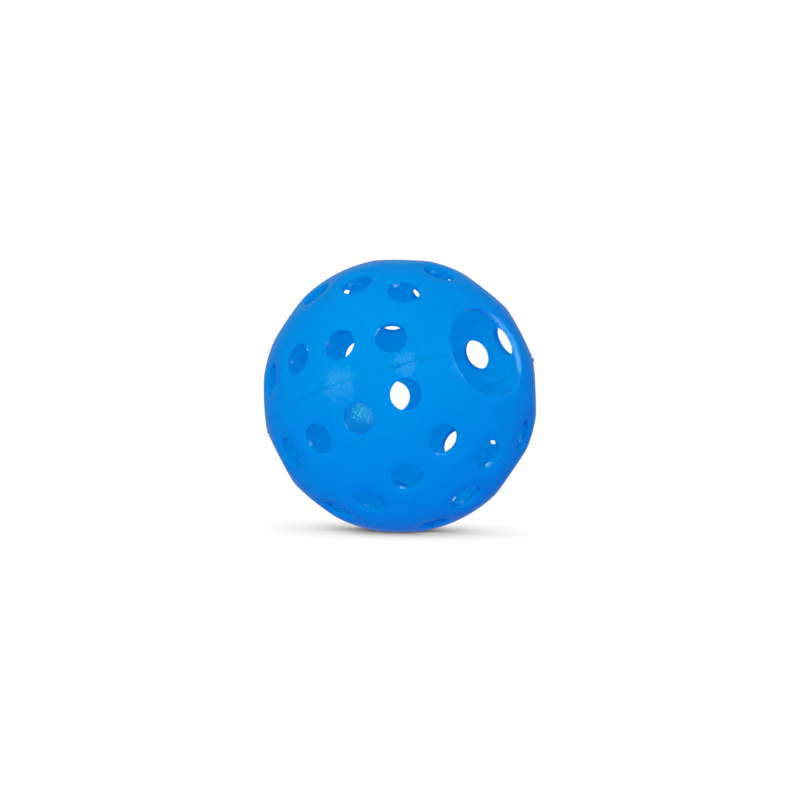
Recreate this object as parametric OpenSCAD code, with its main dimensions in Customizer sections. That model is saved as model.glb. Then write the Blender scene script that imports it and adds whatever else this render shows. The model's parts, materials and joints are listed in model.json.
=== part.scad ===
// A hollow, perforated ball in two moulded halves, joined by a weld along a great circle.
// The ball stands on the flat land round its lowest hole. The origin is the ball's centre,
// +Z is up through two opposite holes, and the big opening faces +X, tilted upwards.

/* [Ball] */
// Outer diameter of the shell
ball_d = 74; // [70:0.5:80]
// Wall thickness of the shell
wall = 2; // [1.4:0.1:2.6]

/* [Small holes] */
// Diameter of each small hole
hole_d = 8.4; // [6:0.1:9]
// Diameter of the flat land around each small hole
land_d = 14; // [11:0.1:14]
// Number of rings of small holes round the opening's axis
ring_count = 5; // [4:1:5]
// Number of holes in each ring
ring_holes = 10; // [6:4:10]
// Angle from the opening's axis to the first ring of holes, in degrees
first_ring = 45; // [42:0.5:48]
// Angle from one ring to the next, in degrees
ring_step = 22.5; // [21.5:0.5:23]
// Which ring the ball stands on
rest_ring = 4; // [4:1:4]

/* [Opening] */
// Diameter of the big round opening
opening_d = 25; // [18:0.5:26]

/* [Seam] */
// Width of the weld between the two rims
weld_w = 0.4; // [0.4:0.1:1.2]
// How far the weld lies below the outer surface
weld_depth = 0.1; // [0.05:0.01:0.3]
// Height of the step that locates one half in the other
step_h = 1.5; // [0.8:0.1:1.8]
// Clearance round the locating step
step_gap = 0.05; // [0.02:0.01:0.1]
// How far the locating step stops short of the opening
step_stop = 1.5; // [1:0.1:3]

/* [Hidden] */
$fn = 96;

ball_r = ball_d / 2;
inner_r = ball_r - wall;
step_r = ball_r - wall / 2;
hole_r = hole_d / 2;
opening_r = opening_d / 2;
land_plane = sqrt(pow(ball_r, 2) - pow(land_d / 2, 2));
tilt = first_ring + (rest_ring - 1) * ring_step - 90;
reach = ball_r + 5;
cut_margin = 1;
land_margin = 0.2;
opening_start = ball_r * 0.6;
shell_colour = [0.0, 0.58, 0.91];
weld_colour = [0.0, 0.5, 0.84];

// Turns the seam's own frame (opening on +X, seam in the XY plane) so that the ball stands level.
module standing() {
    rotate([0, -tilt, 0]) children();
}

// Aims a shape's +Z at the hole that is ring_angle from the opening's axis and row_angle round it.
module aim_at_hole(ring_angle, row_angle) {
    rotate([-row_angle, 0, 0]) rotate([0, 0, -ring_angle]) rotate([0, 90, 0]) children();
}

// One hole's bore through the wall, with the flat land that is faced off round its mouth.
module hole_and_land() {
    bottom = inner_r - cut_margin;
    top = ball_r + cut_margin;
    mouth_r = land_d / 2 + land_margin;
    rotate_extrude()
        polygon([[0, bottom], [hole_r, bottom], [hole_r, land_plane], [mouth_r, land_plane], [mouth_r, top], [0, top]]);
}

// The holes on one side of the seam: side is 1 above it, -1 below it.
module small_holes(side) {
    for (ring = [0 : ring_count - 1])
        for (row = [0 : ring_holes / 2 - 1])
            aim_at_hole(first_ring + ring * ring_step, side * (row + 0.5) * 360 / ring_holes) hole_and_land();
}

module big_opening() {
    rotate([0, 90, 0]) translate([0, 0, opening_start]) cylinder(h = reach - opening_start, r = opening_r);
}

// The half space on one side of the seam, starting at a distance from the seam's plane.
module half_space(side, start) {
    translate([-reach, -reach, side > 0 ? start : -start - reach]) cube([2 * reach, 2 * reach, reach]);
}

// A sphere whose poles fall where that half has no wall: on the opening's axis for the upper half,
// and in the middle hole for the lower half.
module half_sphere(side, radius) {
    rotate(side > 0 ? [90, 0, 90] : [0, 0, 0]) sphere(r = radius);
}

// One half's bowl, up to its flat rim.
module bowl(side) {
    intersection() {
        difference() {
            half_sphere(side, ball_r);
            half_sphere(side, inner_r);
        }
        half_space(side, weld_w / 2);
    }
}

// The space inside the middle of the wall up to a height above the seam, which stops short of the opening.
module step_band(radius, height, stop) {
    difference() {
        translate([0, 0, -wall]) cylinder(h = wall + height, r = radius);
        rotate([0, 90, 0]) translate([0, 0, opening_start]) cylinder(h = reach, r = opening_r + stop);
    }
}

module upper_half() {
    color(shell_colour) standing() difference() {
        bowl(1);
        step_band(step_r + step_gap, step_h + step_gap, step_stop - step_gap);
        small_holes(1);
        big_opening();
    }
}

module lower_half() {
    color(shell_colour) standing() difference() {
        union() {
            bowl(-1);
            difference() {
                step_band(step_r, step_h, step_stop);
                half_sphere(-1, inner_r);
            }
        }
        small_holes(-1);
        big_opening();
    }
}

module weld_seam() {
    color(weld_colour) standing() difference() {
        rotate_extrude() translate([inner_r, -weld_w / 2]) square([wall - weld_depth, weld_w]);
        step_band(step_r, step_h, step_stop);
        big_opening();
    }
}

upper_half();
lower_half();
weld_seam();
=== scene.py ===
"""A perforated blue ball: two moulded half shells and the weld that joins them.

The shapes are worked out in the seam's own frame, with the big opening on +X and the seam in the XY
plane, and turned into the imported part's frame as they are built. Each half is made above the seam's
plane, and the lower one is mirrored. Lengths are in metres and angles in radians.
"""
import json
import math

import bmesh
import bpy
import numpy as np
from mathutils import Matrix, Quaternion, Vector


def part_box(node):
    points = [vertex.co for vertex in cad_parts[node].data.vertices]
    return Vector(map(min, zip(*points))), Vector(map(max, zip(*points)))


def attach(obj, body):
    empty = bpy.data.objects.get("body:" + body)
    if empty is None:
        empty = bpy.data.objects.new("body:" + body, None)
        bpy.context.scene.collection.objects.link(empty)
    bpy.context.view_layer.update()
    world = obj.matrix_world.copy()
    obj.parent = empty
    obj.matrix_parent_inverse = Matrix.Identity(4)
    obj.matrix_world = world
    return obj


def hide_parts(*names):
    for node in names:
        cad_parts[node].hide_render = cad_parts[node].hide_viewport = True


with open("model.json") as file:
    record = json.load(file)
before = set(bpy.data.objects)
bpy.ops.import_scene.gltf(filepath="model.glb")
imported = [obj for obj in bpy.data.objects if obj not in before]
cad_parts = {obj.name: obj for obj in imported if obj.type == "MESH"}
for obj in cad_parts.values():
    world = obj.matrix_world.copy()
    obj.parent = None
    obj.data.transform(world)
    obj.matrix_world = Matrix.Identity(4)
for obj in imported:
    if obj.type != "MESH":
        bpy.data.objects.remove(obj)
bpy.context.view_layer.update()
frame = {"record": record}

MM = 0.001
DEG = math.pi / 180

# ---------------------------------------------------------------- sizes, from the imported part
MOUNTS = {mount["name"]: mount for mount in frame["record"]["mounts"]}
OPENING_AXIS = np.array(MOUNTS["opening"]["axis"])
OPENING_R = MOUNTS["opening"]["dims"]["r_mm"] * MM
LAND_PLANE = -MOUNTS["rest_land"]["pos_m"][2]
HALF_LOW, HALF_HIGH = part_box("upper_half")
BALL_R = (HALF_HIGH.y - HALF_LOW.y) / 2

# The seam's frame, as columns in the part's frame.
TO_PART = np.column_stack([OPENING_AXIS, (0, 1, 0), np.cross(OPENING_AXIS, (0, 1, 0))])

# ---------------------------------------------------------------- sizes that the design fixes
WALL = 2.0 * MM
INNER_R = BALL_R - WALL
HOLE_R = 4.2 * MM
RINGS = 5
ROWS = 10
FIRST_RING = 45 * DEG
RING_STEP = 22.5 * DEG
ROW_STEP = 2 * math.pi / ROWS
GAP = 0.2 * MM              # from the seam's plane to a half's rim
STEP_R = BALL_R - WALL / 2  # outside of the locating step
STEP_H = 1.5 * MM
STEP_GAP = 0.05 * MM
STEP_STOP = 1.5 * MM        # how far the step stops short of the opening
STEP_FADE = 1.5 * MM        # and the length over which it rises

# ---------------------------------------------------------------- softness of the moulding
LAND_BLEND = 0.28 * MM      # how softly a land runs out into the ball
INNER_SHARE = 0.6           # how much of each land shows on the inside
LIP_W, LIP_H = 0.55 * MM, 0.75 * MM          # rounding of a hole's outer edge
INNER_LIP_W, INNER_LIP_H = 0.3 * MM, 0.3 * MM
LIP_FULLNESS = 0.6          # how far a lip's curve holds its first and last directions
SEAM_LIP = 0.05 * MM        # rounding of a half's edge along the seam
SEAM_REACH = 3.0 * MM       # how far from the seam the mesh makes room for it

# ---------------------------------------------------------------- mesh density
SIDE_STEPS = 16             # round a ring, per hole; a multiple of 4
RING_STEPS = 12             # along a row, per hole
OUTER_STEPS = 8             # from a hole's lip to its cell's edge
INNER_STEPS = 6
BAND_STEPS = 10             # from the opening's lip to the first ring's cells
LIP_STEPS = 5
WALL_STEPS = 3
INNER_LIP_STEPS = 3
FAN_CROWDING = 1.25         # above 1, rows of points crowd towards a hole's lip
HALF_TURN_STEPS = SIDE_STEPS * ROWS // 2
CELL_STEPS = 2 * (SIDE_STEPS + RING_STEPS)
SAME_POINT = 0.01 * MM      # points closer than this are joined
SHELL_SHARP = 38 * DEG      # edges that turn more than this stay sharp
WELD_SHARP = 50 * DEG


def direction(ring_angle, row_angle):
    """Unit vectors at these angles from the opening's axis and round it."""
    return np.stack([np.cos(ring_angle) + 0 * row_angle,
                     -np.sin(ring_angle) * np.cos(row_angle),
                     np.sin(ring_angle) * np.sin(row_angle)], axis=-1)


def unit(vectors):
    vectors = np.asarray(vectors, float)
    return vectors / np.linalg.norm(vectors, axis=-1, keepdims=True)


def ease(x):
    x = np.clip(x, 0, 1)
    return x * x * (3 - 2 * x)


RING_ANGLES = [FIRST_RING + ring * RING_STEP for ring in range(RINGS)]
ROW_ANGLES = [(row + 0.5) * ROW_STEP for row in range(ROWS)]
HOLE_AXES = np.array([direction(ring, row) for ring in RING_ANGLES for row in ROW_ANGLES])
FIRST_CELL = RING_ANGLES[0] - RING_STEP / 2
LAST_CELL = RING_ANGLES[-1] + RING_STEP / 2


# ---------------------------------------------------------------- the two surfaces
def land_depth(directions):
    """How far the flat lands lie below the sphere in these directions."""
    cosine = np.clip(directions @ HOLE_AXES.T, 0.5, 1)
    below = BALL_R - LAND_PLANE / cosine
    soft = (below + LAND_BLEND) ** 2 / (4 * LAND_BLEND)
    depth = np.where(below > LAND_BLEND, below, np.where(below > -LAND_BLEND, soft, 0))
    return depth.sum(axis=-1)


def outer_radius(directions):
    return BALL_R - land_depth(directions)


def inner_radius(directions):
    return INNER_R - INNER_SHARE * land_depth(directions)


def clear_seam(height, edge):
    """Heights above the seam's plane, moved up so that the plane itself comes to height edge."""
    return np.where(height < SEAM_REACH, edge + height * (SEAM_REACH - edge) / SEAM_REACH, height)


def surface(directions, radius_of, reference_r, edge):
    moved = directions * reference_r
    moved[..., 2] = clear_seam(moved[..., 2], edge)
    moved = unit(moved)
    return moved * radius_of(moved)[..., None]


def outer_surface(directions):
    return surface(directions, outer_radius, BALL_R, GAP + SEAM_LIP)


def step_share(directions):
    """From 0 at the opening to 1 where the locating step has its full height."""
    from_axis = BALL_R * np.hypot(directions[..., 1], directions[..., 2])
    behind = directions[..., 0] < 0
    return np.where(behind, 1, ease((from_axis - OPENING_R - STEP_STOP) / STEP_FADE))


def inner_surface(directions, step_edge):
    """step_edge is how high above the seam's plane this half's inner wall starts."""
    edge = GAP + (step_edge - GAP) * step_share(directions)
    return surface(directions, inner_radius, INNER_R, edge)


# ---------------------------------------------------------------- rims
def lip_on(radius_of, axis, across, wide):
    """Where a surface is wide from a hole's axis: the angle there, (distance, height) and outward slope."""
    nearby = 0.001

    def place(angle):
        radius = radius_of(unit(axis * math.cos(angle) + across * math.sin(angle)))
        return radius * np.array([math.sin(angle), math.cos(angle)])

    angle = 0.0
    for _ in range(20):     # each pass comes closer
        angle = math.asin(wide / np.hypot(*place(angle)))
    return angle, place(angle), unit(place(angle + nearby) - place(angle))


def lip_curve(start, leaving, end, arriving, steps):
    """A Bezier curve of (distance from the axis, height) points."""
    reach = LIP_FULLNESS * np.linalg.norm(end - start)
    first, last = start + reach * leaving, end - reach * arriving
    t = np.linspace(0, 1, steps + 1)[:, None]
    s = 1 - t
    return s ** 3 * start + 3 * s * s * t * first + 3 * s * t * t * last + t ** 3 * end


class Rim:
    """A hole's wall from its outer lip to its inner one."""

    def __init__(self, radius, axis, across):
        self.outer_angle, start, outer_slope = lip_on(outer_radius, axis, across, radius + LIP_W)
        self.inner_angle, end, inner_slope = lip_on(inner_radius, axis, across, radius + INNER_LIP_W)
        down = np.array([0.0, -1.0])
        top, bottom = np.array([radius, start[1] - LIP_H]), np.array([radius, end[1] + INNER_LIP_H])
        self.outer_lip = lip_curve(start, -outer_slope, top, down, LIP_STEPS)
        inner_lip = lip_curve(bottom, down, end, inner_slope, INNER_LIP_STEPS)
        wall = np.linspace(top, bottom, WALL_STEPS + 1)[1:-1]
        self.profile = np.concatenate([self.outer_lip, wall, inner_lip])


X_AXIS, Y_AXIS = np.eye(3)[0], np.eye(3)[1]
SMALL_RIM = Rim(HOLE_R, HOLE_AXES[2], unit(np.cross(HOLE_AXES[2], Y_AXIS)))
BIG_RIM = Rim(OPENING_R, X_AXIS, Y_AXIS)


# ---------------------------------------------------------------- meshes
class Grids:
    """Grids of points, joined into one surface wherever points on their edges meet."""

    def __init__(self):
        self.points, self.faces, self.count = [], [], 0

    def add(self, grid):
        rows, columns = grid.shape[:2]
        index = self.count + np.arange(rows * columns).reshape(rows, columns)
        self.points.append(grid.reshape(-1, 3))
        corners = (index[:-1, :-1], index[1:, :-1], index[1:, 1:], index[:-1, 1:])
        self.faces.append(np.stack(corners, axis=-1).reshape(-1, 4))
        self.count += rows * columns

    def build(self, name, sharp, side=1):
        """The joined mesh, as an object; side is -1 for a mirrored one."""
        points = (np.concatenate(self.points) * (1, 1, side)) @ TO_PART.T
        mesh = bpy.data.meshes.new(name)
        mesh.from_pydata(points.tolist(), [], np.concatenate(self.faces).tolist())
        bm = bmesh.new()
        bm.from_mesh(mesh)
        bmesh.ops.remove_doubles(bm, verts=bm.verts, dist=SAME_POINT)
        bmesh.ops.recalc_face_normals(bm, faces=bm.faces)
        for face in bm.faces:
            face.smooth = True
        open_edges = sum(not edge.is_manifold for edge in bm.edges)
        print(f"{name}: {len(bm.faces)} faces, {open_edges} open edges, {bm.calc_volume() * 1e9:.0f} mm3")
        bm.to_mesh(mesh)
        bm.free()
        mesh.set_sharp_from_angle(angle=sharp)
        piece = bpy.data.objects.new(name, mesh)
        bpy.context.scene.collection.objects.link(piece)
        return piece


def cell_edge(ring_angle, row_angle):
    """Directions round the edge of a hole's cell, starting and ending at its corner nearest the opening."""
    near, far = ring_angle - RING_STEP / 2, ring_angle + RING_STEP / 2
    low, high = row_angle - ROW_STEP / 2, row_angle + ROW_STEP / 2
    across = np.linspace(low, high, SIDE_STEPS + 1)
    along = np.linspace(near, far, RING_STEPS + 1)
    rings = np.concatenate([np.full(SIDE_STEPS, near), along[:-1],
                            np.full(SIDE_STEPS, far), along[:0:-1], [near]])
    rows = np.concatenate([across[:-1], np.full(RING_STEPS, high),
                           across[:0:-1], np.full(RING_STEPS, low), [low]])
    return direction(rings, rows)


def add_hole(grids, ring_angle, row_angle, step_edge):
    """A small hole's wall, and both surfaces round it out to the edge of its cell."""
    axis = direction(ring_angle, row_angle)
    outward = direction(ring_angle + math.pi / 2, row_angle)
    sideways = np.cross(axis, outward)
    edge = cell_edge(ring_angle, row_angle)
    turn = math.pi - (np.arange(CELL_STEPS + 1) - SIDE_STEPS / 2) * 2 * math.pi / CELL_STEPS
    if np.dot(edge[SIDE_STEPS] - edge[0], sideways) < 0:
        sideways = -sideways
    circle = np.cos(turn)[:, None] * outward + np.sin(turn)[:, None] * sideways

    edge_angle = np.arccos(edge @ axis)[:, None]
    edge_flat = unit(edge - (edge @ axis)[:, None] * axis) * edge_angle

    def fan(lip_angle, steps):
        share = (np.linspace(0, 1, steps + 1) ** FAN_CROWDING)[:, None, None]
        flat = (1 - share) * lip_angle * circle + share * edge_flat
        angle = np.linalg.norm(flat, axis=-1, keepdims=True)
        return np.cos(angle) * axis + np.sin(angle) * flat / angle

    grids.add(outer_surface(fan(SMALL_RIM.outer_angle, OUTER_STEPS)))
    grids.add(inner_surface(fan(SMALL_RIM.inner_angle, INNER_STEPS), step_edge))
    distance, height = SMALL_RIM.profile[:, 0, None, None], SMALL_RIM.profile[:, 1, None, None]
    grids.add(height * axis + distance * circle)


def opening_rim():
    """The big opening's wall on one side of the seam, with its ends at the half's rim."""
    row_angle = np.linspace(0, math.pi, HALF_TURN_STEPS + 1)
    distance, height = BIG_RIM.profile[:, 0, None], BIG_RIM.profile[:, 1, None]
    rounding = np.linspace(1, 0, LIP_STEPS + 1)
    edge = np.full(len(BIG_RIM.profile), GAP)
    edge[:LIP_STEPS + 1] += SEAM_LIP * (1 - np.sqrt(1 - rounding ** 2))
    z = clear_seam(distance * np.sin(row_angle), edge[:, None])
    y = -np.sign(np.cos(row_angle)) * np.sqrt(distance ** 2 - z ** 2)
    return np.stack([height + 0 * z, y, z], axis=-1)


def band(lip_angle):
    rings = np.linspace(lip_angle, FIRST_CELL, BAND_STEPS + 1)[:, None]
    return direction(rings, np.linspace(0, math.pi, HALF_TURN_STEPS + 1)[None, :])


def cap():
    """Half of the closed end, as a half square drawn out to a half disc."""
    half = HALF_TURN_STEPS // 4
    u, v = np.meshgrid(np.arange(-2 * half, 2 * half + 1), np.arange(0, 2 * half + 1), indexing="ij")
    u, v = u / (2 * half), v / (2 * half)
    across = np.abs(u) >= v
    size = np.where(across, np.abs(u), v)
    ratio = np.where(across, v, u) / np.where(size == 0, 1, size)
    turn = np.where(across, np.where(u > 0, ratio, 4 - ratio), 2 - ratio) * math.pi / 4
    return direction(math.pi - size * (math.pi - LAST_CELL), turn)


def seam_stations(lip_angle):
    """Directions in the seam's plane, from one side of the opening round to the other."""
    out = np.concatenate([np.linspace(lip_angle, FIRST_CELL, BAND_STEPS + 1),
                          np.linspace(FIRST_CELL, LAST_CELL, RINGS * RING_STEPS + 1)[1:],
                          np.linspace(LAST_CELL, math.pi, HALF_TURN_STEPS // 2 + 1)[1:]])
    outward, back = direction(out, np.zeros_like(out)), direction(out, np.full_like(out, math.pi))
    return np.concatenate([outward, back[-2::-1]])


def seam_rim(step_r, step_edge, opening):
    """The half's rim from the outer surface, over the locating step, to the inner surface."""
    outer = outer_surface(seam_stations(BIG_RIM.outer_angle))
    inner = inner_surface(seam_stations(BIG_RIM.inner_angle), step_edge)
    outer_way, inner_way = unit(outer * (1, 1, 0)), unit(inner * (1, 1, 0))
    outer_r, inner_r = np.hypot(outer[:, 0], outer[:, 1]), np.hypot(inner[:, 0], inner[:, 1])
    top = inner[:, 2]
    columns = [outer]

    def column(radius, height, way_share):
        way = unit((1 - way_share) * outer_way + way_share * inner_way)
        columns.append(way * radius[:, None] + np.outer(height, (0, 0, 1)))

    ones = np.ones(len(outer))
    for turn in np.linspace(0, math.pi / 2, LIP_STEPS + 1)[1:]:
        column(outer_r - SEAM_LIP * (1 - math.cos(turn)), (GAP + SEAM_LIP * (1 - math.sin(turn))) * ones, 0)
    column((outer_r - SEAM_LIP + step_r) / 2, GAP * ones, 0.25)
    column(step_r * ones, GAP * ones, 0.5)
    column(step_r * ones, (GAP + top) / 2, 0.5)
    column(step_r * ones, top, 0.5)
    column((step_r + inner_r) / 2, top, 0.75)
    columns.append(inner)
    rim = np.stack(columns, axis=1)
    rim[0], rim[-1] = opening[:, 0], opening[:, -1]
    return rim


def half_shell(name, side, step_r, step_edge):
    """One half's mesh, which isn't quite closed: its open edges are counted when it is built.

    The cap's edge has twice as many points as the cells it meets, and every other one stays unjoined. So do
    a few points by the seam, on the edges of the opening's lip.
    """
    grids = Grids()
    for ring_angle in RING_ANGLES:
        for row_angle in ROW_ANGLES[:ROWS // 2]:
            add_hole(grids, ring_angle, row_angle, step_edge)
    grids.add(outer_surface(band(BIG_RIM.outer_angle)))
    grids.add(inner_surface(band(BIG_RIM.inner_angle), step_edge))
    grids.add(outer_surface(cap()))
    grids.add(inner_surface(cap(), step_edge))
    opening = opening_rim()
    grids.add(opening)
    grids.add(seam_rim(step_r, step_edge, opening))
    return grids.build(name, SHELL_SHARP, side)


# ---------------------------------------------------------------- the weld
WELD_SINK = 0.04 * MM       # how far the weld's edges lie below the surface
WELD_CROWN = 0.04 * MM      # and how much its middle bulges
WELD_RAGGED = 0.02 * MM     # how much its edges wander up and down
WELD_STEPS = 720            # along the weld
CROWN_STEPS = 8             # across it
RUN_IN = 3 * DEG            # the stretch next to the opening, with its stations closer together
RUN_IN_STEPS = 12
WELD_FADE = 3 * MM          # its sections run along the opening's wall there, and point inwards this far on
RIPPLES, SLOWEST_RIPPLE, RIPPLE_RATIO = 5, 23, 1.7

# Small lumps of melted plastic: angle from the opening's axis, spread along the weld, share of full size.
FLASH_H, FLASH_W = 0.5 * MM, 0.35 * MM
FLASH_SPOTS = ((44 * DEG, 2.2 * DEG, 1.0), (139 * DEG, 1.2 * DEG, 0.5), (226 * DEG, 1.6 * DEG, 0.6),
               (317 * DEG, 1.3 * DEG, 0.7))


def uneven(angle):
    """A small uneven ripple along the weld between -1 and 1, the same each run."""
    waves = range(RIPPLES)
    total = sum(np.sin(angle * SLOWEST_RIPPLE * RIPPLE_RATIO ** n + 2.1 * n) / (1 + n) for n in waves)
    return total / sum(1 / (1 + n) for n in waves)


def weld_stations():
    """Angles along the weld, from one side of the opening round to the other."""
    start = math.asin(OPENING_R / BALL_R)
    end = 2 * math.pi - start
    run_in = np.linspace(0, 1, RUN_IN_STEPS) ** 1.5 * RUN_IN
    between = np.linspace(start + RUN_IN, end - RUN_IN, WELD_STEPS)[1:-1]
    return np.concatenate([start + run_in, between, end - run_in[::-1]])


def weld():
    """The fused band between the rims: sunk a little, uneven, with small lumps of flash."""
    angle = weld_stations()
    way = np.stack([np.cos(angle), -np.sin(angle), 0 * angle], axis=-1)
    behind = np.cos(angle) < 0
    aside_at_ball = BALL_R * np.abs(np.sin(angle))
    from_opening = np.where(behind, 1, (aside_at_ball - OPENING_R) / WELD_FADE)
    flash = sum(h * np.exp(-((angle - spot) / width) ** 2) for spot, width, h in FLASH_SPOTS)
    ripple = uneven(angle)
    lip = BIG_RIM.outer_lip[::-1]
    at_lip = np.hypot(lip[:, 0], lip[:, 1])
    surface_r = np.where(behind | (from_opening > LIP_W / WELD_FADE), outer_radius(way),
                         np.interp(aside_at_ball, lip[:, 0], at_lip))
    edge_r = surface_r - WELD_SINK + WELD_RAGGED * ripple
    foot_r = INNER_R + (STEP_R - INNER_R) * step_share(way)
    half_w = GAP + FLASH_W * flash
    bulge = WELD_CROWN * (1 + 0.5 * ripple) + (FLASH_H + WELD_SINK) * flash

    section = [(foot_r, -GAP + 0 * angle), ((foot_r + edge_r) / 2, -GAP + 0 * angle)]
    for turn in np.linspace(-math.pi / 2, math.pi / 2, CROWN_STEPS + 1):
        section.append((edge_r + bulge * math.cos(turn), half_w * math.sin(turn)))
    section += [((foot_r + edge_r) / 2, GAP + 0 * angle), (foot_r, GAP + 0 * angle)]
    section.append(section[0])

    rings = []
    for radius, z in section:
        slanted = radius * np.abs(np.sin(angle))
        aside = np.where(behind, slanted, aside_at_ball + (slanted - aside_at_ball) * ease(from_opening))
        x = np.sqrt(np.maximum(radius ** 2 - aside ** 2, 0)) * np.sign(np.cos(angle))
        rings.append(np.stack([x, -aside * np.sign(np.sin(angle)), z], axis=-1))
    grid = np.stack(rings, axis=1)
    grids = Grids()
    grids.add(grid)
    for end in (grid[0], grid[-1]):
        middle = end[:-1].mean(axis=0)
        grids.add(np.stack([end, np.broadcast_to(middle, end.shape)]))
    return grids.build("weld", WELD_SHARP)


# ---------------------------------------------------------------- materials
def linear(red, green, blue):
    """A linear colour from 0 to 255 display values."""
    def one(value):
        share = value / 255
        return share / 12.92 if value <= 10 else ((share + 0.055) / 1.055) ** 2.4

    return one(red), one(green), one(blue), 1


class Nodes:
    """A short way to build a material's nodes."""

    def __init__(self, name):
        self.material = bpy.data.materials.new(name)
        self.material.use_nodes = True
        self.tree = self.material.node_tree
        self.shader = self.tree.nodes["Principled BSDF"]

    def add(self, kind, inputs=None, **settings):
        node = self.tree.nodes.new(kind)
        for key, value in settings.items():
            setattr(node, key, value)
        for key, value in (inputs or {}).items():
            self.put(node.inputs[key], value)
        return node

    def put(self, socket, value):
        if isinstance(value, bpy.types.NodeSocket):
            self.tree.links.new(value, socket)
        else:
            socket.default_value = value


SHELL_COLOUR = linear(0, 142, 221)
SHELL_DEEP = linear(0, 134, 217)
# The next two are painted highlight colours: the soft highlights and the scratches in them.
PAINTED_HIGHLIGHT_COLOUR = linear(64, 162, 226)
HIGHLIGHT_SCRATCH_COLOUR = linear(80, 205, 240)
# The next two are colours of a painted patch of light and its pale squiggles.
LIGHT_POOL_COLOUR = linear(0, 165, 215)
LIGHT_POOL_SPECKLE_COLOUR = linear(95, 222, 228)
WELD_COLOUR = linear(0, 138, 219)

# Noise as scale and detail.
CLOUD, RAGGED, GRAIN = (45.0, 3.0), (700.0, 6.0), (1500.0, 2.0)
STREAKS, SQUIGGLES, MELT = (3200.0, 2.0), (800.0, 1.0), (350.0, 4.0)
STREAK_SQUEEZE = 0.3        # how much of the noise's scale is left along Z, which draws it out into streaks
STREAK_RANGE = (0.5, 0.68)
SQUIGGLE_RANGE = (0.045, 0.015)

# How strongly the painted highlights, their scratch streaks, the painted patch of light and its squiggles
# cover the plastic's own colour.
PAINTED_HIGHLIGHT_SHARE, HIGHLIGHT_SCRATCH_SHARE, LIGHT_POOL_SHARE, LIGHT_SQUIGGLE_SHARE = 0.22, 0.26, 0.5, 0.7
SHELL_ROUGH, WELD_ROUGH = (0.16, 0.24), (0.3, 0.5)
HIGHLIGHT_SPOT_ROUGHER = 0.25
MARKS_HEIGHT = 2.5          # against 1 for the grain and the scratches in the painted highlights
SHELL_SCATTER, WELD_SCATTER = 0.6 * MM, 0.1 * MM

# Painted soft highlights by the weld, with scratch streaks that show lighter in them: angle from the
# opening's axis, and radius.
PAINTED_HIGHLIGHT_SPOTS = ((69.6 * DEG, 3.7 * MM), (40.5 * DEG, 2.7 * MM))
# A painted patch of light on the inside of the closed end, round a point a little inside the wall, with
# pale painted squiggles in it.
LIGHT_POOL_CENTRE = (INNER_R - 1.5 * MM) * direction(152.6 * DEG, 161 * DEG)
LIGHT_POOL_R = 2.6 * MM


def multiply_add(nodes, value, factor, extra):
    inputs = {0: value, 1: factor, 2: extra}
    return nodes.add("ShaderNodeMath", inputs, operation="MULTIPLY_ADD").outputs[0]


def noise(nodes, place, kind):
    scale, detail = kind
    inputs = {"Vector": place, "Scale": scale, "Detail": detail}
    return nodes.add("ShaderNodeTexNoise", inputs).outputs["Fac"]


def spot(nodes, place, centre, radius, ragged):
    """1 in a round place on the surface, fading to 0 at an uneven edge."""
    centre = Vector(TO_PART @ centre)
    away = nodes.add("ShaderNodeVectorMath", {0: place, 1: centre}, operation="DISTANCE").outputs["Value"]
    away = multiply_add(nodes, ragged, radius * 2.2, away)
    return nodes.add("ShaderNodeMapRange",
                     {"Value": away, "From Min": radius * 1.45, "From Max": radius * 0.75},
                     interpolation_type="SMOOTHSTEP").outputs["Result"]


def blend(nodes, factor, first, second):
    """second over first; each is a colour or a socket."""
    mix = nodes.add("ShaderNodeMix", data_type="RGBA")
    factor_in, first_in, second_in = mix.inputs["Factor"], mix.inputs[6], mix.inputs[7]
    for socket, value in ((factor_in, factor), (first_in, first), (second_in, second)):
        nodes.put(socket, value)
    return mix.outputs[2]


def product(nodes, first, second):
    return nodes.add("ShaderNodeMath", {0: first, 1: second}, operation="MULTIPLY").outputs[0]


def roughness(nodes, pattern, limits):
    low, high = limits
    inputs = {"Value": pattern, "To Min": low, "To Max": high}
    return nodes.add("ShaderNodeMapRange", inputs).outputs["Result"]


def bump(nodes, height, strength, distance):
    inputs = {"Height": height, "Strength": strength, "Distance": distance}
    return nodes.add("ShaderNodeBump", inputs).outputs["Normal"]


def set_plastic(nodes, scatter):
    """The uniform values of a soft, slightly translucent moulded plastic."""
    shader = nodes.shader.inputs
    shader["Subsurface Weight"].default_value = 1.0
    shader["Subsurface Radius"].default_value = (1.0, 1.0, 1.0)
    shader["Subsurface Scale"].default_value = scatter
    shader["IOR"].default_value = 1.5
    shader["Specular IOR Level"].default_value = 0.12
    shader["Specular Tint"].default_value = (0.3, 0.6, 1.0, 1)


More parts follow.
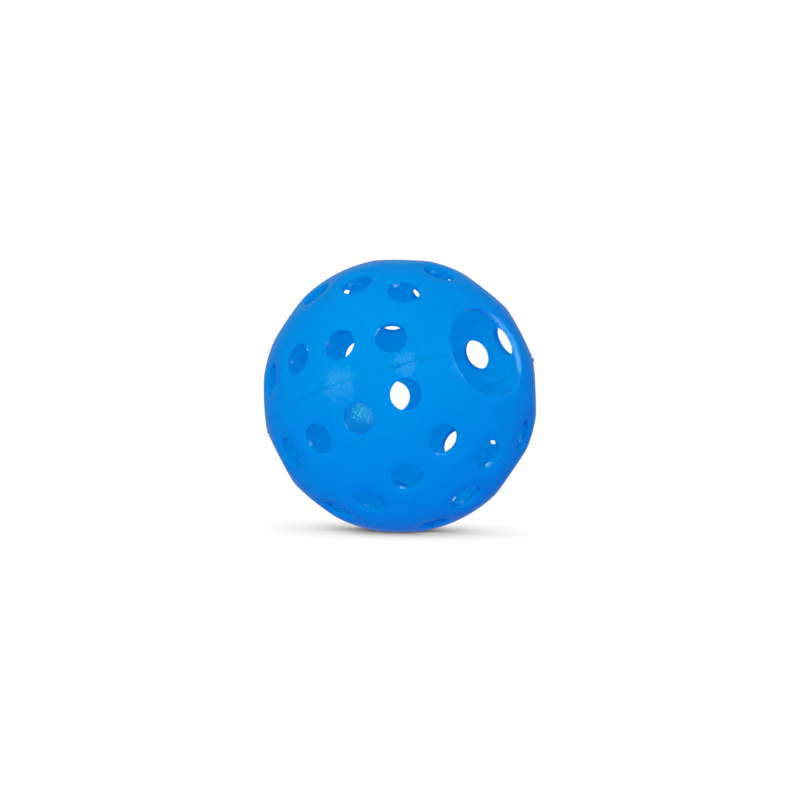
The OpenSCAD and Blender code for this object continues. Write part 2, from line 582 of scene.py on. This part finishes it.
def shell_plastic():
    nodes = Nodes("shell_plastic")
    place = nodes.add("ShaderNodeTexCoord").outputs["Object"]

    def stretched(value, limits):
        """value as a share from the first limit, 0, to the second, 1."""
        low, high = limits
        inputs = {"Value": value, "From Min": low, "From Max": high}
        return nodes.add("ShaderNodeMapRange", inputs).outputs["Result"]

    def centred(value):
        return nodes.add("ShaderNodeMath", {0: value, 1: 0.5}, operation="SUBTRACT").outputs[0]

    cloud, grain = noise(nodes, place, CLOUD), noise(nodes, place, GRAIN)
    ragged = centred(noise(nodes, place, RAGGED))
    colour = blend(nodes, cloud, SHELL_DEEP, SHELL_COLOUR)

    left, right = (spot(nodes, place, BALL_R * direction(angle, 0.0), radius, ragged)
                   for angle, radius in PAINTED_HIGHLIGHT_SPOTS)
    painted_highlight = nodes.add("ShaderNodeMath", {0: left, 1: right}, operation="MAXIMUM").outputs[0]
    drawn_out = nodes.add("ShaderNodeMapping", {"Vector": place, "Scale": (1, 1, STREAK_SQUEEZE)})
    streaks = stretched(noise(nodes, drawn_out.outputs["Vector"], STREAKS), STREAK_RANGE)
    scratches_in_highlight = product(nodes, painted_highlight, streaks)
    # Painted soft highlights by the weld, with lighter painted streaks where scratches catch the light; the
    # scratches are also bumped.
    colour = blend(nodes, product(nodes, painted_highlight, PAINTED_HIGHLIGHT_SHARE), colour, PAINTED_HIGHLIGHT_COLOUR)
    colour = blend(nodes, product(nodes, scratches_in_highlight, HIGHLIGHT_SCRATCH_SHARE), colour, HIGHLIGHT_SCRATCH_COLOUR)

    # Painted patch of light on the inside of the closed end, with pale painted squiggles of light in it;
    # the squiggles are also bumped.
    light_pool = spot(nodes, place, LIGHT_POOL_CENTRE, LIGHT_POOL_R, ragged)
    away = nodes.add("ShaderNodeMath", {0: centred(noise(nodes, place, SQUIGGLES))}, operation="ABSOLUTE")
    squiggles = product(nodes, light_pool, stretched(away.outputs[0], SQUIGGLE_RANGE))
    colour = blend(nodes, product(nodes, light_pool, LIGHT_POOL_SHARE), colour, LIGHT_POOL_COLOUR)
    colour = blend(nodes, product(nodes, squiggles, LIGHT_SQUIGGLE_SHARE), colour, LIGHT_POOL_SPECKLE_COLOUR)
    nodes.put(nodes.shader.inputs["Base Color"], colour)

    rough = roughness(nodes, cloud, SHELL_ROUGH)
    nodes.put(nodes.shader.inputs["Roughness"], multiply_add(nodes, painted_highlight, HIGHLIGHT_SPOT_ROUGHER, rough))
    height = multiply_add(nodes, scratches_in_highlight, 1.0, grain)
    height = multiply_add(nodes, squiggles, MARKS_HEIGHT, height)
    nodes.put(nodes.shader.inputs["Normal"], bump(nodes, height, 0.35, 0.03 * MM))
    set_plastic(nodes, SHELL_SCATTER)
    return nodes.material


def weld_plastic():
    nodes = Nodes("weld_plastic")
    melt = noise(nodes, nodes.add("ShaderNodeTexCoord").outputs["Object"], MELT)
    nodes.put(nodes.shader.inputs["Base Color"], blend(nodes, melt, WELD_COLOUR, SHELL_COLOUR))
    nodes.put(nodes.shader.inputs["Roughness"], roughness(nodes, melt, WELD_ROUGH))
    nodes.put(nodes.shader.inputs["Normal"], bump(nodes, melt, 0.5, 0.05 * MM))
    set_plastic(nodes, WELD_SCATTER)
    return nodes.material


# ---------------------------------------------------------------- the pieces
upper = half_shell("upper_half_shell", 1, STEP_R + STEP_GAP, STEP_H + STEP_GAP)
lower = half_shell("lower_half_shell", -1, STEP_R, -STEP_H)
seam = weld()

SHELL, WELD = shell_plastic(), weld_plastic()
for piece, node, slot, material in ((upper, "upper_half", "shell", SHELL),
                                    (lower, "lower_half", "shell", SHELL),
                                    (seam, "weld_seam", "weld", WELD)):
    piece.data.materials.append(material)
    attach(piece, "root")
    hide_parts(node)


# ---------------------------------------------------------------- floor, light and camera
CAMERA_AZIMUTH, CAMERA_ELEVATION, CAMERA_ROLL = 45.1, 3.5, 1.2
CAMERA_DISTANCE = 45 * BALL_R
CAMERA_LENS, CAMERA_SENSOR = 278.3, 36
AIM = Vector((-0.01, -0.01, -1.2)) * MM
LAMP_DISTANCE = 0.8

FLOOR_SIZE = 6.0
FLOOR_WHITE = 1.03
SHADOW_REACH = 0.3          # how far round a point of the floor is looked for what hides the light
SHADOW_FALL = 3.0           # above 1, the shadow keeps closer to the ball

HORIZON = 0.6               # the light from below turns into the light from above between -this and this
PATCH_FULL, PATCH_END = math.cos(22 * DEG), math.cos(32 * DEG)


def around(azimuth, elevation, distance):
    """A place seen from the ball's centre; azimuth 0 is in front, on -Y, and 90 is on +X."""
    a, e = azimuth * DEG, elevation * DEG
    return distance * Vector((math.sin(a) * math.cos(e), -math.cos(a) * math.cos(e), math.sin(e)))


def soft_box(name, azimuth, elevation, size, power, colour, glossy=False, diffuse=True):
    """A round soft lamp that faces the ball."""
    lamp = bpy.data.lights.new(name, "AREA")
    lamp.shape, lamp.size, lamp.energy, lamp.color = "DISK", size, power, colour
    box = bpy.data.objects.new(name, lamp)
    box.location = around(azimuth, elevation, LAMP_DISTANCE)
    box.rotation_euler = (-box.location).to_track_quat("-Z", "Y").to_euler()
    box.visible_glossy, box.visible_diffuse = glossy, diffuse
    bpy.context.scene.collection.objects.link(box)


def inner_lamp(name, place, power, size, colour, glossy=False, diffuse=True):
    """A small lamp inside the ball that isn't seen itself."""
    lamp = bpy.data.lights.new(name, "POINT")
    lamp.energy, lamp.shadow_soft_size, lamp.color = power, size, colour
    bulb = bpy.data.objects.new(name, lamp)
    bulb.location = place
    bulb.visible_camera, bulb.visible_glossy, bulb.visible_diffuse = False, glossy, diffuse
    bpy.context.scene.collection.objects.link(bulb)


def floor(height):
    """A plain white floor with a soft shadow; the ball's own blue light doesn't colour it."""
    bm = bmesh.new()
    bmesh.ops.create_grid(bm, x_segments=8, y_segments=8, size=FLOOR_SIZE)
    bmesh.ops.translate(bm, verts=bm.verts, vec=(0, 0, height))
    mesh = bpy.data.meshes.new("floor")
    bm.to_mesh(mesh)
    bm.free()
    plane = bpy.data.objects.new("floor", mesh)
    bpy.context.scene.collection.objects.link(plane)
    nodes = Nodes("floor_white")
    sky = nodes.add("ShaderNodeAmbientOcclusion", {"Distance": SHADOW_REACH}, samples=16).outputs["AO"]
    hidden = nodes.add("ShaderNodeMath", {0: 1.0, 1: sky}, operation="SUBTRACT").outputs[0]
    shadow = nodes.add("ShaderNodeMath", {0: hidden, 1: SHADOW_FALL}, operation="POWER").outputs[0]
    white = nodes.add("ShaderNodeMath", {0: FLOOR_WHITE, 1: shadow}, operation="SUBTRACT").outputs[0]
    shader = nodes.shader.inputs
    nodes.put(shader["Emission Strength"], white)
    nodes.put(shader["Emission Color"], (1, 1, 1, 1))
    nodes.put(shader["Base Color"], (0, 0, 0, 1))
    nodes.put(shader["Specular IOR Level"], 0.0)
    mesh.materials.append(nodes.material)
    plane.visible_diffuse = plane.visible_glossy = False


def studio_world(seen, reflected, backdrop, behind, above, below):
    """A plain studio: its colour to the camera, in reflections, and as light from above and below.

    Reflections also show a paler patch of backdrop round the direction behind.
    """
    world = bpy.data.worlds.new("studio")
    world.use_nodes = True
    tree = world.node_tree

    def put(socket, value):
        if isinstance(value, bpy.types.NodeSocket):
            tree.links.new(value, socket)
        else:
            socket.default_value = value

    def mixed(factor, first, second):
        mix = tree.nodes.new("ShaderNodeMix")
        mix.data_type = "RGBA"
        put(mix.inputs["Factor"], factor)
        for socket, value in ((mix.inputs[6], first), (mix.inputs[7], second)):
            put(socket, (*value, 1) if isinstance(value, tuple) else value)
        return mix.outputs[2]

    def share(value, low, high):
        """value as a share from low, 0, to high, 1."""
        spread = tree.nodes.new("ShaderNodeMapRange")
        for name, given in (("Value", value), ("From Min", low), ("From Max", high)):
            put(spread.inputs[name], given)
        return spread.outputs["Result"]

    path = tree.nodes.new("ShaderNodeLightPath")
    way = tree.nodes.new("ShaderNodeTexCoord").outputs["Generated"]
    upward = tree.nodes.new("ShaderNodeSeparateXYZ")
    put(upward.inputs["Vector"], way)
    facing = tree.nodes.new("ShaderNodeVectorMath")
    facing.operation = "DOT_PRODUCT"
    put(facing.inputs[0], way)
    put(facing.inputs[1], behind)

    light = mixed(share(upward.outputs["Z"], -HORIZON, HORIZON), below, above)
    mirrored = mixed(share(facing.outputs["Value"], PATCH_END, PATCH_FULL), reflected, backdrop)
    light = mixed(path.outputs["Is Glossy Ray"], light, mirrored)
    light = mixed(path.outputs["Is Camera Ray"], light, seen)
    put(tree.nodes["Background"].inputs["Color"], light)
    world.cycles.sampling_method = "NONE"
    bpy.context.scene.world = world


def add_camera():
    data = bpy.data.cameras.new("camera")
    data.lens, data.sensor_width = CAMERA_LENS, CAMERA_SENSOR
    camera = bpy.data.objects.new("camera", data)
    camera.location = AIM + around(CAMERA_AZIMUTH, CAMERA_ELEVATION, CAMERA_DISTANCE)
    straight = (AIM - camera.location).to_track_quat("-Z", "Y")
    camera.rotation_euler = (straight @ Quaternion((0, 0, 1), CAMERA_ROLL * DEG)).to_euler()
    bpy.context.scene.collection.objects.link(camera)
    bpy.context.scene.camera = camera


floor(-LAND_PLANE)
studio_world(seen=(1.1, 1.1, 1.1), reflected=(0.05, 0.06, 0.08), backdrop=(0.24, 0.24, 0.26),
             behind=-around(CAMERA_AZIMUTH + 3, CAMERA_ELEVATION - 5, 1),
             above=(1.0, 0.77, 0.95), below=(1.0, 0.5, 0.96))
bpy.context.scene.view_settings.view_transform = "Standard"

soft_box("top_box", 60, 60, 0.5, 0.2, (1, 1, 1))
soft_box("front_box", 37, 8, 0.4, 4.5, (0.6, 1.0, 0.39))
soft_box("back_box", 225, 12, 0.4, 3.2, (0.6, 1.0, 0.39))
# From the camera its mirror image falls in the opening, so there it only shows on the edges of the holes.
soft_box("side_box", 107, 29, 0.12, 2.2, (0.7, 1.0, 1.0), glossy=True, diffuse=False)
# Light that the plastic lets through: the inside is nearly as bright as the outside.
inner_lamp("inside_glow", around(225, 25, 0.07 * BALL_R), 0.0245, 5 * MM, (0.8, 1.0, 0.52))
# Light that comes in through the opening: it draws bright lines on the inner edges of the holes.
inner_lamp("edge_shine", Vector(OPENING_AXIS) * 0.75 * BALL_R, 0.045, 9 * MM, (0.7, 1.0, 1.0),
           glossy=True, diffuse=False)
add_camera()
